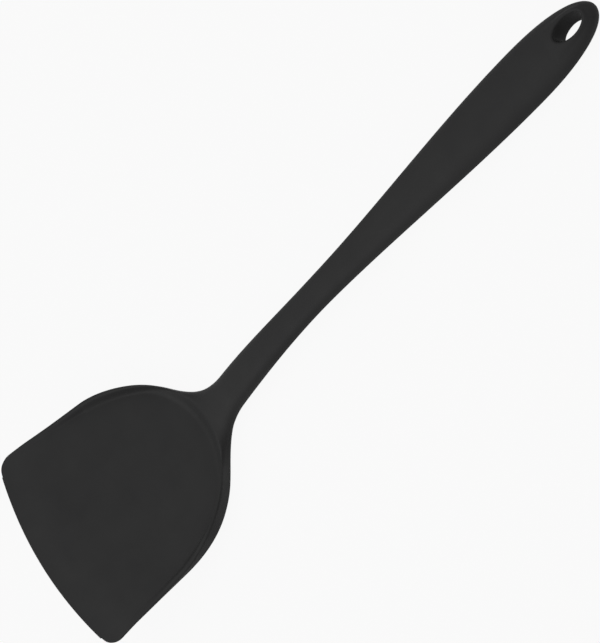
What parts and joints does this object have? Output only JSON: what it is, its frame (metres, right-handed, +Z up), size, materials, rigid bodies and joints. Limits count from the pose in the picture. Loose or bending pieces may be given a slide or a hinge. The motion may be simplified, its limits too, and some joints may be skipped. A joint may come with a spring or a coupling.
{
  "type": "wok spatula",
  "caption": "One-piece silicone wok spatula: dished, fan-shaped blade with raised side and back walls, bent neck, slim shaft and a widening grip with an oval hanging hole.",
  "frame": {"origin": "centre of the bounding box's underside, on the table that the spatula lies on", "axes": "+X from the blade's leading edge to the tip of the handle, +Y across the blade, +Z up, out of the dish"},
  "size_m": [0.3204, 0.0908, 0.027],
  "materials": {
    "silicone": "satin",
    "nylon": "as moulded",
    "steel": "rolled strip"
  },
  "bodies": {
    "root": {"silicone_skin": "silicone", "nylon_core": "nylon", "steel_spine": "steel"}
  },
  "joints": []
}
